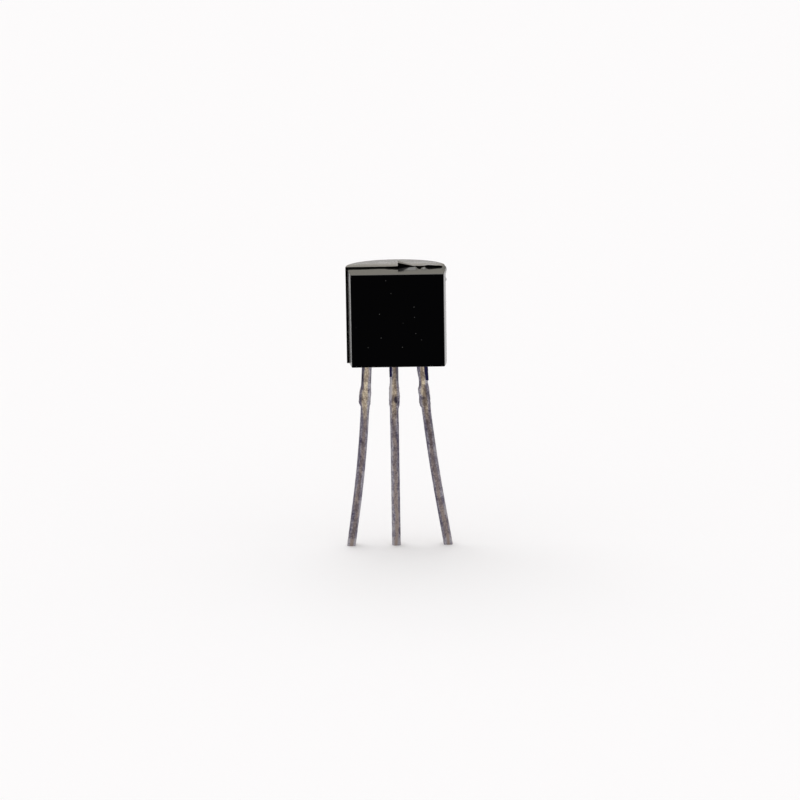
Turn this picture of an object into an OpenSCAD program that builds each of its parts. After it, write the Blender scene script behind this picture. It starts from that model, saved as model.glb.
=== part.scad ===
// LED driver integrated circuit in a three-lead moulded package, standing upright on its leads.
// +Z is up, the flat front faces -Y, the round back faces +Y and +X is to the right seen from the front.
// The origin lies on the axis of the centre lead, at the level where the leads enter their holes.
// All lengths are in millimetres and all angles in degrees.

/* [Moulded body] */
// Width of the round rear half across the parting plane
body_w = 4.54; // [4.45:0.01:5.2]
// Height of the rear half at the parting plane
body_h = 4.51; // [4.32:0.01:5.33]
// Depth of the front half, from the parting plane to the flat face
front_depth = 1.05; // [0.9:0.01:1.3]
// Width of the flat front face
front_w = 4.21; // [4.1:0.01:4.8]
// Height of the flat front face
front_h = 4.31; // [4.1:0.01:5]
// Draft of the left side of the front half
left_draft_angle = 7.8; // [1:0.1:10]
// Draft of the right side of the front half
right_draft_angle = 4.6; // [1:0.1:10]
// Draft of the top of the front half
top_draft_angle = 3.9; // [1:0.1:8]
// Draft of the underside of the front half
under_draft_angle = 2; // [1:0.1:8]
// Draft of the top and the underside of the rear half
rear_draft_angle = 5.5; // [1:0.5:8]
// Sideways mismatch of the front mould half against the rear one
mould_shift_x = 0.068; // [-0.08:0.001:0.08]
// Vertical mismatch of the front mould half against the rear one
mould_shift_z = -0.052; // [-0.06:0.001:0.06]
// Sideways offset of the body from the centre lead
body_offset_x = 0.134; // [-0.2:0.002:0.2]
// Height of the underside above the level where the leads enter their holes
standing_height = 8.74; // [5:0.02:11]

/* [Gate stub] */
// Distance of the broken end of the stub from the body's centre
gate_x = 0.11; // [-0.5:0.01:0.5]
// Length over which the stub dies away along the top edge
gate_len = 0.74; // [0.6:0.01:1.2]
// Length of the stub over the front half
gate_front_len = 0.6; // [0.3:0.01:0.9]
// Rise of the broken end above the top edge
gate_rise = 0.145; // [0.1:0.005:0.4]
// Reach of the broken end over the front half
gate_reach_front = 0.1; // [0.05:0.01:0.5]
// Reach of the broken end over the rear half
gate_reach_back = 0.45; // [0.1:0.01:0.6]
// Backward lean of the front of the stub
gate_lean_angle = 33; // [0:1:50]
// Depth to which the stub is rooted in the body
gate_root = 0.22; // [0.18:0.01:0.4]

/* [Ejector dimple] */
// Diameter of the dimple in the round back
dimple_d = 1.5; // [0.8:0.05:1.6]
// Depth of the dimple below the crown of the round back
dimple_depth = 0.2; // [0.1:0.01:0.38]

/* [Lead section] */
// Distance between neighbouring leads where they leave the body
lead_pitch = 1.27; // [1.14:0.01:1.4]
// Sideways offset of the middle of the outer leads from the centre lead
outer_shift = 0.03; // [-0.05:0.005:0.05]
// Thickness of the lead sheet
lead_t = 0.4; // [0.36:0.01:0.5]
// Width of a lead below its dambar stub
lead_w = 0.39; // [0.36:0.01:0.45]
// Width of a lead between the body and its dambar stub
neck_w = 0.43; // [0.4:0.01:0.5]
// Length of a lead from the underside of the body to its tip
lead_len = 13.5; // [12.7:0.1:15.4]

/* [Dambar stubs] */
// Distance of the stubs below the underside of the body
stub_start = 1.22; // [1:0.02:1.6]
// Length of a stub along its lead
stub_len = 0.86; // [0.5:0.02:1]
// Length of the sheared slope at each end of a stub
stub_slope = 0.14; // [0.05:0.01:0.2]
// Reach of the left lead's stub beyond its outer edge
left_stub_outer = 0.095; // [0.05:0.005:0.12]
// Reach of the left lead's stub beyond its inner edge
left_stub_inner = 0.05; // [0.03:0.005:0.12]
// Reach of the centre lead's stub beyond its right edge
centre_stub_right = 0.04; // [0.03:0.005:0.12]
// Reach of the centre lead's stub beyond its left edge
centre_stub_left = 0.05; // [0.03:0.005:0.12]
// Reach of the right lead's stub beyond its outer edge
right_stub_outer = 0.035; // [0.03:0.005:0.12]
// Reach of the right lead's stub beyond its inner edge
right_stub_inner = 0.08; // [0.05:0.005:0.12]

/* [Lead bends] */
// Lean of the left lead where it leaves the body
left_lean_angle = 3.2; // [0:0.05:4]
// Bend of the left lead at its stub
left_bend_angle = 0.1; // [0:0.05:8]
// Curl of the left lead along its tail
left_curl_angle = 4.75; // [0:0.05:10]
// Lean of the right lead where it leaves the body
right_lean_angle = 2.65; // [0:0.05:4]
// Bend of the right lead at its stub
right_bend_angle = 3.45; // [0:0.05:8]
// Curl of the right lead along its tail
right_curl_angle = 3.15; // [0:0.05:10]
// Distance from the underside of the body to the bend
bend_start = 0.9; // [0.6:0.05:2]
// Length over which the bend is spread
bend_len = 1.2; // [0.3:0.05:1.5]
// Length over which the curl is spread
curl_len = 4.7; // [3:0.1:8]

/* [Inner lead ends] */
// Width of the die paddle
paddle_w = 1.7; // [1.5:0.02:1.8]
// Height of the die paddle
paddle_h = 1.8; // [1.5:0.02:2]
// Height of the paddle's lower edge above the underside of the body
paddle_z = 1.75; // [1.5:0.02:2]
// Gap between the paddle and a bond post
post_gap = 0.2; // [0.15:0.01:0.25]
// Width of a bond post
post_w = 0.8; // [0.7:0.01:0.85]
// Height of a bond post
post_h = 1.2; // [0.8:0.02:1.4]
// Height of a bond post's lower edge above the underside of the body
post_z = 1.4; // [1.2:0.02:1.6]

/* [Die] */
// Width of the die
die_w = 1; // [0.7:0.02:1.2]
// Height of the die
die_h = 0.9; // [0.7:0.02:1]
// Thickness of the die
die_t = 0.25; // [0.2:0.01:0.35]
// Height of the die's centre above the centre of the paddle
die_lift = 0.2; // [0.1:0.01:0.25]
// Thickness of the die-attach layer
attach_t = 0.03; // [0.02:0.005:0.05]
// Reach of the die-attach layer around the die
attach_margin = 0.05; // [0.02:0.01:0.1]

/* [Bond wires] */
// Diameter of a bond wire
wire_d = 0.05; // [0.04:0.005:0.055]
// Diameter of the ball on the die
ball_d = 0.12; // [0.1:0.005:0.14]
// Height of the ball on the die
ball_h = 0.06; // [0.06:0.005:0.08]
// Diameter of the flattened foot on the lead frame
foot_d = 0.12; // [0.1:0.005:0.14]
// Thickness of the flattened foot
foot_t = 0.02; // [0.02:0.005:0.03]
// Distance of a pad's centre from the nearest edge of the die
pad_inset = 0.12; // [0.1:0.01:0.16]
// Angle of an outer wire against its chord where it leaves the ball
side_wire_arch_angle = 40; // [30:1:48]
// Angle of the down-bond wire against its chord where it leaves the ball
down_wire_arch_angle = 50; // [42:1:58]
// Distance of the down-bond's foot from the lower edge of the paddle
down_foot_inset = 0.2; // [0.15:0.01:0.3]

/* [Hidden] */
$fn = 72;
wire_fn = 16;
path_steps = 40;
straight_steps = 1;
neck_steps = 10;
post_land_share = 0.4;
overrun = 0.2;
parting_y = -lead_t / 2;
rear_r = body_w / 2;
front_mid_z = body_h / 2 + mould_shift_z;
front_top_z = front_mid_z + front_h / 2 + front_depth * tan(top_draft_angle);
front_under_z = front_mid_z - front_h / 2 - front_depth * tan(under_draft_angle);
post_inner = paddle_w / 2 + post_gap;
post_land_x = post_inner + post_w * post_land_share;
post_land_z = post_z + post_h / 2;
die_z = paddle_z + paddle_h / 2 + die_lift;
chip_drop = die_t + attach_t;

// Chord of an arc as a share of its length
function chord_share(turn) = turn == 0 ? 1 : sin(turn / 2) / (turn / 2 * PI / 180);

// Point and heading after a length along a chain of arcs, each a length and a turn; it runs down from zero
function along(arcs, length, i = 0, at = [0, 0], heading = 0) =
  let (
    part = i == len(arcs) - 1 ? length : min(length, arcs[i][0]),
    turn = arcs[i][1] * part / arcs[i][0],
    chord = part * chord_share(turn),
    middle = heading + turn / 2,
    next = at + chord * [sin(middle), -cos(middle)]
  )
  i == len(arcs) - 1 || length <= arcs[i][0]
    ? [next, heading + turn]
    : along(arcs, length - arcs[i][0], i + 1, next, heading + turn);

// Point beside the path, to its outer side when reach is positive
function beside(arcs, length, reach) =
  let (here = along(arcs, length))
  here[0] + reach * [cos(here[1]), sin(here[1])];

// Lengths and reaches along one edge of a lead: neck, sheared stub, tail
function edge_stations(inner_len, stub_reach, steps) =
  let (
    stub_top = inner_len + stub_start,
    stub_end = stub_top + stub_len,
    tip = inner_len + lead_len,
    full = lead_w / 2 + stub_reach
  )
  concat(
    [for (i = [0 : min(neck_steps, steps)]) [stub_top * i / min(neck_steps, steps), neck_w / 2]],
    [[stub_top + stub_slope, full], [(stub_top + stub_end) / 2, full], [stub_end - stub_slope, full]],
    [for (i = [0 : steps]) [stub_end + (tip - stub_end) * i / steps, lead_w / 2]]
  );

// Path of a lead from its inner end: it leans out to the underside, then bends at the stub and curls
function lead_arcs(inner_len, lean, bend, curl) = [
  [inner_len, lean],
  [bend_start, 0],
  [bend_len, bend],
  [curl_len, curl],
  [lead_len - bend_start - bend_len - curl_len, 0]
];

// Closed outline of a lead that leaves the underside at an offset to the right: down its outer edge,
// up its inner edge, and around the landing at its inner end
function lead_outline(offset, land_from, land_w, land_z, land_h, lean, bend, curl, outer_reach, inner_reach) =
  let (
    arcs = lead_arcs(land_z, lean, bend, curl),
    start = [offset, 0] - along(arcs, land_z)[0],
    steps = lean == 0 && bend == 0 && curl == 0 ? straight_steps : path_steps,
    outer = edge_stations(land_z, outer_reach, steps),
    inner = edge_stations(land_z, inner_reach, steps),
    last = len(inner) - 1
  )
  concat(
    [for (station = outer) start + beside(arcs, station[0], station[1])],
    [for (i = [last : -1 : 0]) start + beside(arcs, inner[i][0], -inner[i][1])],
    [
      [land_from, start[1]],
      [land_from, land_z + land_h],
      [land_from + land_w, land_z + land_h],
      [land_from + land_w, start[1]]
    ]
  );

// Turns the sheet plane upright: sheet X stays, sheet Y becomes up, sheet Z points to the flat front
module upright() {
  translate([0, 0, standing_height])
    rotate([90, 0, 0])
      children();
}

// Sheet metal of the leads, centred on the sheet plane
module sheet() {
  upright()
    translate([0, 0, -lead_t / 2])
      linear_extrude(height = lead_t)
        children();
}

module lead_left() {
  color([0.62, 0.58, 0.54])
    sheet()
      mirror([1, 0])
        polygon(lead_outline(
          lead_pitch - outer_shift, post_inner, post_w, post_z, post_h,
          left_lean_angle, left_bend_angle, left_curl_angle, left_stub_outer, left_stub_inner));
}

module lead_centre() {
  color([0.62, 0.58, 0.54])
    sheet()
      polygon(lead_outline(
        0, -paddle_w / 2, paddle_w, paddle_z, paddle_h,
        0, 0, 0, centre_stub_right, centre_stub_left));
}

module lead_right() {
  color([0.62, 0.58, 0.54])
    sheet()
      polygon(lead_outline(
        lead_pitch + outer_shift, post_inner, post_w, post_z, post_h,
        right_lean_angle, right_bend_angle, right_curl_angle, right_stub_outer, right_stub_inner));
}

module die_attach() {
  color([0.75, 0.75, 0.73])
    upright()
      translate([-die_w / 2 - attach_margin, die_z - die_h / 2 - attach_margin, lead_t / 2])
        cube([die_w + 2 * attach_margin, die_h + 2 * attach_margin, attach_t]);
}

module die() {
  color([0.33, 0.34, 0.42])
    upright()
      translate([-die_w / 2, die_z - die_h / 2, lead_t / 2 + attach_t])
        cube([die_w, die_h, die_t]);
}

// Bond wire from a pad on the die to a foot on the lead frame, both given in the sheet plane:
// a ball, one arc that leaves the ball at the arch angle against its chord, and a flattened foot
module bond_wire(pad, foot, arch) {
  reach = foot - pad;
  span = norm(reach);
  drop = chip_drop + ball_h / 2;
  slope = atan2(-drop, span);
  radius = norm([span, drop]) / (2 * sin(arch));
  excess = 2 * wire_d / radius * 180 / PI;
  centre = [radius * sin(slope + arch), ball_h / 2 - radius * cos(slope + arch)];
  upright()
    translate([pad[0], pad[1], lead_t / 2 + chip_drop])
      rotate([0, 0, atan2(reach[1], reach[0])]) {
        cylinder(d = ball_d, h = ball_h, $fn = wire_fn);
        difference() {
          translate([centre[0], 0, centre[1]])
            rotate([90, 0, 0])
              rotate([0, 0, 90 + slope - arch - excess])
                rotate_extrude(angle = 2 * arch + excess)
                  translate([radius, 0])
                    circle(d = wire_d, $fn = wire_fn);
          translate([0, -overrun, -chip_drop - overrun])
            cube([span + overrun, 2 * overrun, overrun]);
        }
        translate([span, 0, -chip_drop])
          cylinder(d = foot_d, h = foot_t, $fn = wire_fn);
      }
}

module wire_left() {
  color([0.85, 0.65, 0.3])
    bond_wire([pad_inset - die_w / 2, die_z], [-post_land_x, post_land_z], side_wire_arch_angle);
}

module wire_down() {
  color([0.85, 0.65, 0.3])
    bond_wire([0, die_z - die_h / 2 + pad_inset], [0, paddle_z + down_foot_inset], down_wire_arch_angle);
}

module wire_right() {
  color([0.85, 0.65, 0.3])
    bond_wire([die_w / 2 - pad_inset, die_z], [post_land_x, post_land_z], side_wire_arch_angle);
}

// Side outline swept across the whole width: outline X runs to the back, outline Y runs up
module across() {
  rotate([90, 0, 90])
    translate([0, 0, -body_w])
      linear_extrude(height = 2 * body_w)
        children();
}

// Round half behind the parting plane, its ends drawn in towards the back
module rear_half() {
  depth = rear_r + overrun;
  intersection() {
    translate([0, 0, -overrun])
      cylinder(r = rear_r, h = body_h + 2 * overrun);
    across()
      polygon([
        [0, 0],
        [depth, depth * tan(rear_draft_angle)],
        [depth, body_h - depth * tan(rear_draft_angle)],
        [0, body_h]
      ]);
  }
}

// Half in front of the parting plane, its four sides drawn in towards the flat face
module front_half() {
  root = front_depth + overrun;
  intersection() {
    translate([mould_shift_x, 0, -overrun])
      linear_extrude(height = body_h + 2 * overrun)
        polygon([
          [-front_w / 2 - root * tan(left_draft_angle), overrun],
          [front_w / 2 + root * tan(right_draft_angle), overrun],
          [front_w / 2 - overrun * tan(right_draft_angle), -front_depth - overrun],
          [overrun * tan(left_draft_angle) - front_w / 2, -front_depth - overrun]
        ]);
    across()
      polygon([
        [0, front_under_z],
        [0, front_top_z],
        [-front_depth, front_mid_z + front_h / 2],
        [-front_depth, front_mid_z - front_h / 2]
      ]);
  }
}

// Broken stub of the moulding gate on the top edge: a fin that is highest at its broken left end
module gate_stub() {
  fall = gate_rise / gate_len;
  crest = gate_rise + overrun;
  lean = tan(gate_lean_angle);
  intersection() {
    translate([gate_x, 0, body_h - gate_root])
      linear_extrude(height = gate_root + crest)
        polygon([[0, -gate_reach_front], [gate_front_len, 0], [gate_len, 0], [0, gate_reach_back]]);
    translate([gate_x, overrun + gate_reach_back, 0])
      rotate([90, 0, 0])
        linear_extrude(height = 2 * overrun + gate_reach_back + gate_reach_front)
          polygon([
            [-overrun, body_h - gate_root],
            [gate_len + overrun, body_h - gate_root],
            [gate_len + overrun, body_h - overrun * fall],
            [-overrun, body_h + gate_rise + overrun * fall]
          ]);
    across()
      polygon([
        [-gate_reach_front - (gate_root - body_h + front_top_z) * lean, body_h - gate_root],
        [gate_reach_back + overrun, body_h - gate_root],
        [gate_reach_back + overrun, body_h + crest],
        [(crest + body_h - front_top_z) * lean - gate_reach_front, body_h + crest]
      ]);
  }
}

module epoxy_body() {
  color([0.06, 0.06, 0.065])
    difference() {
      translate([body_offset_x, parting_y, standing_height]) {
        difference() {
          union() {
            rear_half();
            front_half();
            gate_stub();
          }
          translate([0, rear_r - dimple_depth, body_h / 2])
            rotate([-90, 0, 0])
              cylinder(d = dimple_d, h = dimple_depth + overrun);
        }
      }
      lead_left();
      lead_centre();
      lead_right();
      die_attach();
      die();
      wire_left();
      wire_down();
      wire_right();
    }
}

epoxy_body();
lead_left();
lead_centre();
lead_right();
die_attach();
die();
wire_left();
wire_down();
wire_right();
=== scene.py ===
"""Looks of a three-lead LED driver IC: moulded black body on splayed tin-plated leads."""

import logging
import math
from dataclasses import dataclass
from enum import Enum
from typing import Callable, Dict, List, Optional, Sequence, Tuple

import bmesh
import bpy
from mathutils import Matrix, Vector, noise


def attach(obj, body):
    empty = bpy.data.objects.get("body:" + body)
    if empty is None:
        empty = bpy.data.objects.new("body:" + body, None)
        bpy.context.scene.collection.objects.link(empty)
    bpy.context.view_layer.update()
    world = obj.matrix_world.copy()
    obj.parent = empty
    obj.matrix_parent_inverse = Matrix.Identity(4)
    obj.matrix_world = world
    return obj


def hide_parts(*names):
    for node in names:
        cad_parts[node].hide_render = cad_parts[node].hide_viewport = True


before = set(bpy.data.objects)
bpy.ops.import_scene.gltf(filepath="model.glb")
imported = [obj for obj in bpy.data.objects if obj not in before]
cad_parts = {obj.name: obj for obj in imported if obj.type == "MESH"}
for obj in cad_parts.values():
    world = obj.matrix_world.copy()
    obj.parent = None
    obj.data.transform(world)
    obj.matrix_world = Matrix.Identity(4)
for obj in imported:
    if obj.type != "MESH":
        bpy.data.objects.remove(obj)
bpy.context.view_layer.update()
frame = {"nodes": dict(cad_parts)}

LOG = logging.getLogger("led_driver_ic")
MM = 0.001  # every size below is in millimetres, the scene is in metres
BODY = "root"
PICTURE_PX = 800
SENSOR_MM = 36.0
ON_PLANE = 1e-6  # points nearer to a cutting plane than this lie on it
FACES_AXIS = 0.9  # a face looks along an axis if its normal's share of it is larger than this
FACES_ASIDE = 0.5  # and looks aside from the axis if the share is smaller than this
OCTAVES = (1.0, 2.0, 3)  # roughness, spacing and number of the layers of a fractal noise
STRAIGHT = 1e-9  # an arc that turns by less than this is straight

Point = Tuple[float, float, float]
Flat = Tuple[float, float]
Socket = bpy.types.NodeSocket


class Slot(Enum):
    """Material slots of the record."""

    EPOXY = "epoxy"
    TIN_PLATE = "tin_plate"


class Side(Enum):
    """Place of a lead in its row, counted from the centre."""

    LEFT = -1
    CENTRE = 0
    RIGHT = 1


def linear(code: str) -> Tuple[float, float, float, float]:
    """Turns an sRGB hex colour into linear light.

    Args:
        code: Colour such as "#1a1b1c".

    Returns:
        Linear red, green, blue and an alpha of 1.
    """
    parts = [int(code[i:i + 2], 16) / 255.0 for i in (1, 3, 5)]
    light = [p / 12.92 if p <= 0.04045 else ((p + 0.055) / 1.055) ** 2.4 for p in parts]
    return (light[0], light[1], light[2], 1.0)


def per_size(size_mm: float) -> float:
    """Texture scale whose pattern repeats about once in a length given in millimetres."""
    return 1.0 / (size_mm * MM)


def add_node(
    tree: bpy.types.NodeTree,
    kind: str,
    settings: Optional[Dict[str, object]] = None,
    values: Optional[Dict[object, object]] = None,
    links: Optional[Dict[object, Socket]] = None,
    spans: Sequence[float] = (),
    stops: Sequence[Tuple[float, str]] = (),
) -> bpy.types.Node:
    """Adds one node with its settings and links.

    Args:
        tree: Node tree that gets the node.
        kind: Blender's name of the node type.
        settings: Properties of the node.
        values: Constant values by input name or number.
        links: Output sockets by the input they feed.
        spans: Start and end of a range, and of the range it is mapped to.
        stops: Places and sRGB colours of a ramp, its two ends first.

    Returns:
        The new node.
    """
    made = tree.nodes.new(kind)
    for name, value in (settings or {}).items():
        setattr(made, name, value)
    for name, value in (values or {}).items():
        made.inputs[name].default_value = value
    for name, value in zip(("From Min", "From Max", "To Min", "To Max"), spans):
        made.inputs[name].default_value = value
    for name, socket in (links or {}).items():
        tree.links.new(socket, made.inputs[name])
    for i, (at, code) in enumerate(stops):
        ramp = made.color_ramp
        stop = ramp.elements[i] if i < 2 else ramp.elements.new(at)
        stop.position = at
        stop.color = linear(code)
    return made


def new_material(name: str) -> Tuple[bpy.types.Material, bpy.types.NodeTree]:
    """Makes an empty node material.

    Args:
        name: Name of the real material.

    Returns:
        The material and its cleared node tree.
    """
    made = bpy.data.materials.new(name)
    made.use_nodes = True
    made.node_tree.nodes.clear()
    return made, made.node_tree


def smooth_step(low: float, high: float, value: float) -> float:
    """Rises smoothly from 0 at low to 1 at high."""
    t = min(1.0, max(0.0, (value - low) / (high - low)))
    return t * t * (3.0 - 2.0 * t)


def along(points: Sequence[Sequence[float]], value: float, column: int = 1) -> float:
    """Reads a table of points with smooth passages between them.

    Args:
        points: Rows of a place and one or more values, in rising order of the place.
        value: Place to read at.
        column: Column of the value.

    Returns:
        The value there.
    """
    if value <= points[0][0]:
        return points[0][column]
    for low, high in zip(points, points[1:]):
        if value <= high[0]:
            return low[column] + (high[column] - low[column]) * smooth_step(low[0], high[0], value)
    return points[-1][column]


def slice_at(bm: bmesh.types.BMesh, at: Point, across: Point) -> None:
    """Cuts new edges into a mesh where a plane meets it.

    Args:
        bm: Mesh to cut.
        at: Point on the plane.
        across: Direction that the plane faces.
    """
    bmesh.ops.bisect_plane(bm, geom=bm.verts[:] + bm.edges[:] + bm.faces[:], dist=ON_PLANE,
                           plane_co=at, plane_no=across)


def cut_off(bm: bmesh.types.BMesh, at: Point, outward: Point) -> None:
    """Cuts a closed mesh by a plane, drops the outer part and closes the cut.

    Args:
        bm: Mesh to cut.
        at: Point on the plane.
        outward: Direction of the part that goes.
    """
    cut = bmesh.ops.bisect_plane(
        bm, geom=bm.verts[:] + bm.edges[:] + bm.faces[:], dist=ON_PLANE,
        plane_co=at, plane_no=Vector(outward).normalized(), clear_outer=True)
    rim = [e for e in cut["geom_cut"] if isinstance(e, bmesh.types.BMEdge)]
    bmesh.ops.contextual_create(bm, geom=rim)


def round_edges(bm: bmesh.types.BMesh, chosen: Callable[[bmesh.types.BMEdge], bool], radius: float,
                segments: int = 3) -> None:
    """Rounds the edges that a test picks.

    Args:
        bm: Mesh to work on.
        chosen: Test that is true for an edge to round.
        radius: Width of the rounding in the mesh's units.
        segments: Number of strips across the rounding.
    """
    bmesh.ops.bevel(
        bm, geom=[e for e in bm.edges if chosen(e)], offset=radius, offset_type="OFFSET",
        affect="EDGES", segments=segments, profile=0.5, material=-1, clamp_overlap=True)


def extend(bm: bmesh.types.BMesh, rim: Sequence[bmesh.types.BMEdge]) -> Tuple[list, list]:
    """Draws the open rim of a skin out into a new ring.

    Args:
        bm: Mesh of the skin.
        rim: Edges of its open rim.

    Returns:
        The new ring's points and edges.
    """
    grown = bmesh.ops.extrude_edge_only(bm, edges=rim)["geom"]
    return ([g for g in grown if isinstance(g, bmesh.types.BMVert)],
            [g for g in grown if isinstance(g, bmesh.types.BMEdge)])


def shade(piece: bpy.types.Object, sharp_deg: float) -> None:
    """Shades a piece smooth, apart from edges sharper than an angle."""
    piece.data.shade_smooth()
    piece.data.set_sharp_from_angle(angle=math.radians(sharp_deg))


def make_object(bm: bmesh.types.BMesh, name: str, sharp_deg: float = 30.0) -> bpy.types.Object:
    """Turns a mesh in millimetres into an object in metres at the origin.

    Args:
        bm: Mesh to take over; it is freed.
        name: Name of the object.
        sharp_deg: Edges sharper than this stay sharp in shading.

    Returns:
        The linked object.
    """
    bmesh.ops.recalc_face_normals(bm, faces=bm.faces[:])
    bmesh.ops.transform(bm, matrix=Matrix.Scale(MM, 4), verts=bm.verts[:])
    mesh = bpy.data.meshes.new(name)
    bm.to_mesh(mesh)
    bm.free()
    made = bpy.data.objects.new(name, mesh)
    shade(made, sharp_deg)
    bpy.context.scene.collection.objects.link(made)
    return made


def combine(base: bpy.types.Object, others: Sequence[bpy.types.Object], operation: str) -> None:
    """Joins solids to a base solid or takes them out of it, and removes them.

    Args:
        base: Object that keeps the result.
        others: Objects used up.
        operation: UNION or DIFFERENCE.
    """
    for other in others:
        change = base.modifiers.new("combine", "BOOLEAN")
        change.operation = operation
        change.solver = "EXACT"
        change.object = other
        shaped = bpy.data.meshes.new_from_object(
            base.evaluated_get(bpy.context.evaluated_depsgraph_get()))
        base.modifiers.clear()
        old = base.data
        base.data = shaped
        bpy.data.meshes.remove(old)
        spent = other.data
        bpy.data.objects.remove(other)
        bpy.data.meshes.remove(spent)


def weld(piece: bpy.types.Object, gap: float) -> None:
    """Merges points that lie closer than a gap and drops the slivers between them.

    Args:
        piece: Object to clean.
        gap: Distance in metres.
    """
    bm = bmesh.new()
    bm.from_mesh(piece.data)
    bmesh.ops.remove_doubles(bm, verts=bm.verts[:], dist=gap)
    bmesh.ops.dissolve_degenerate(bm, edges=bm.edges[:], dist=gap)
    bm.to_mesh(piece.data)
    bm.free()


def place(piece: bpy.types.Object, finish: bpy.types.Material, slot: Slot, *nodes: str) -> None:
    """Gives a finished piece its material, its body and the CAD nodes that it stands for.

    Args:
        piece: Finished object.
        finish: Its material.
        slot: Material slot of the record.
        nodes: CAD nodes that the piece replaces.
    """
    piece.data.materials.clear()
    piece.data.materials.append(finish)
    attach(piece, BODY)
    if nodes:
        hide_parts(*nodes)
    LOG.info("%s: %d faces, %s", piece.name, len(piece.data.polygons), slot.value)


@dataclass(frozen=True)
class BlackEpoxy:
    """Filled epoxy moulding compound, pressed in a steel mould.

    It is deep black and matt from mineral grit when faced, and bright only at a glancing view.
    """

    name: str = "moulded_black_epoxy"
    colour: str = "#030304"
    # Dust: a few small grey specks, on the front face only
    speck: str = "#5c5c5b"
    speck_mm: float = 0.26
    speck_reach: Flat = (0.1, 0.03)
    speck_share: float = 0.5
    face_y: Flat = (-1.245, -1.205)
    # Grit and clouds, each as size in millimetres, detail and roughness of a noise
    grit: Point = (0.045, 3.0, 0.6)
    cloud: Point = (1.1, 4.0, 0.55)
    cloud_span: Flat = (0.3, 0.7)
    roughness: Flat = (0.17, 0.22)
    bump: float = 0.18
    bump_mm: float = 0.006
    # Gloss: none on the faced front, a mottled satin on the other sides, full at a glancing view
    ior: float = 1.5
    specular_level: Flat = (0.01, 0.5)
    glance_blend: float = 0.5
    glance_span: Flat = (0.1, 0.65)
    front_turn: Flat = (-0.7, -0.25)
    satin_level: Flat = (0.18, 0.44)
    satin_span: Flat = (0.55, 1.05)
    grit_share: float = 0.6
    # Polish: the top of the front half is smooth enough to mirror the gate stub
    polish: float = 0.09
    polish_y: Flat = (-0.24, -0.2)
    polish_turn: Flat = (0.6, 0.9)
    # Sheen: a trace of warm light in the grit
    sheen: float = 0.06
    sheen_roughness: float = 0.3
    sheen_tint: str = "#fff6ea"

    def tone(self, tree: bpy.types.NodeTree, where: Socket, depth: Socket) -> Socket:
        """Makes the colour: black, with dust specks on the front face.

        Args:
            tree: Node tree of the material.
            where: Object coordinates.
            depth: Their Y.

        Returns:
            The colour.
        """
        face = add_node(tree, "ShaderNodeMapRange", spans=(*(y * MM for y in self.face_y), 1.0, 0.0),
                        links={"Value": depth})
        cells = add_node(tree, "ShaderNodeTexVoronoi", values={
            "Scale": per_size(self.speck_mm), "Randomness": 1.0}, links={"Vector": where})
        near = add_node(tree, "ShaderNodeMapRange", settings={"interpolation_type": "SMOOTHSTEP"},
                        spans=(*self.speck_reach, 0.0, 1.0), links={"Value": cells.outputs["Distance"]})
        drawn = add_node(tree, "ShaderNodeSeparateColor", links={"Color": cells.outputs["Color"]})
        rare = add_node(tree, "ShaderNodeMath", settings={"operation": "GREATER_THAN"},
                        values={1: self.speck_share}, links={0: drawn.outputs["Red"]})
        kept = add_node(tree, "ShaderNodeMath", settings={"operation": "MULTIPLY"}, links={
            0: face.outputs["Result"], 1: rare.outputs["Value"]})
        shown = add_node(tree, "ShaderNodeMath", settings={"operation": "MULTIPLY"}, links={
            0: near.outputs["Result"], 1: kept.outputs["Value"]})
        ramp = add_node(tree, "ShaderNodeValToRGB", links={"Fac": shown.outputs["Value"]},
                        stops=((0.0, self.colour), (1.0, self.speck)))
        return ramp.outputs["Color"]

    def gloss(self, tree: bpy.types.NodeTree, cloud: Socket, depth: Socket, rise: Socket) -> Socket:
        """Makes the roughness: clouded, and lower on the polished top of the front half.

        Args:
            tree: Node tree of the material.
            cloud: Noise of the clouds.
            depth: Y of the Object coordinates.
            rise: Z of the normal.

        Returns:
            The roughness.
        """
        clouded = add_node(tree, "ShaderNodeMapRange", spans=(*self.cloud_span, *self.roughness),
                           links={"Value": cloud})
        ahead = add_node(tree, "ShaderNodeMapRange", spans=(*(y * MM for y in self.polish_y), 1.0, 0.0),
                         links={"Value": depth})
        upper = add_node(tree, "ShaderNodeMapRange", spans=(*self.polish_turn, 0.0, -self.polish),
                         links={"Value": rise})
        polished = add_node(tree, "ShaderNodeMath", settings={"operation": "MULTIPLY_ADD"}, links={
            0: ahead.outputs["Result"], 1: upper.outputs["Result"], 2: clouded.outputs["Result"]})
        return polished.outputs["Value"]

    def shine(self, tree: bpy.types.NodeTree, grit: Socket, cloud: Socket, turn: Socket) -> Socket:
        """Makes the specular level: low on the faced front, satin behind it, full at a glancing view.

        Args:
            tree: Node tree of the material.
            grit: Noise of the grit.
            cloud: Noise of the clouds.
            turn: Y of the normal.

        Returns:
            The specular level.
        """
        grain = add_node(tree, "ShaderNodeMath", settings={"operation": "MULTIPLY_ADD"},
                         values={1: self.grit_share}, links={0: grit, 2: cloud})
        cast = add_node(tree, "ShaderNodeMapRange", spans=(*self.satin_span, *self.satin_level),
                        links={"Value": grain.outputs["Value"]})
        satin = add_node(tree, "ShaderNodeMapRange", spans=(*self.front_turn, self.specular_level[0]),
                         links={"Value": turn, "To Max": cast.outputs["Result"]})
        glance = add_node(tree, "ShaderNodeLayerWeight", values={"Blend": self.glance_blend})
        level = add_node(tree, "ShaderNodeMapRange", settings={"interpolation_type": "SMOOTHSTEP"},
                         spans=(*self.glance_span, 0.0, self.specular_level[1]),
                         links={"Value": glance.outputs["Facing"], "To Min": satin.outputs["Result"]})
        return level.outputs["Result"]

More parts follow.
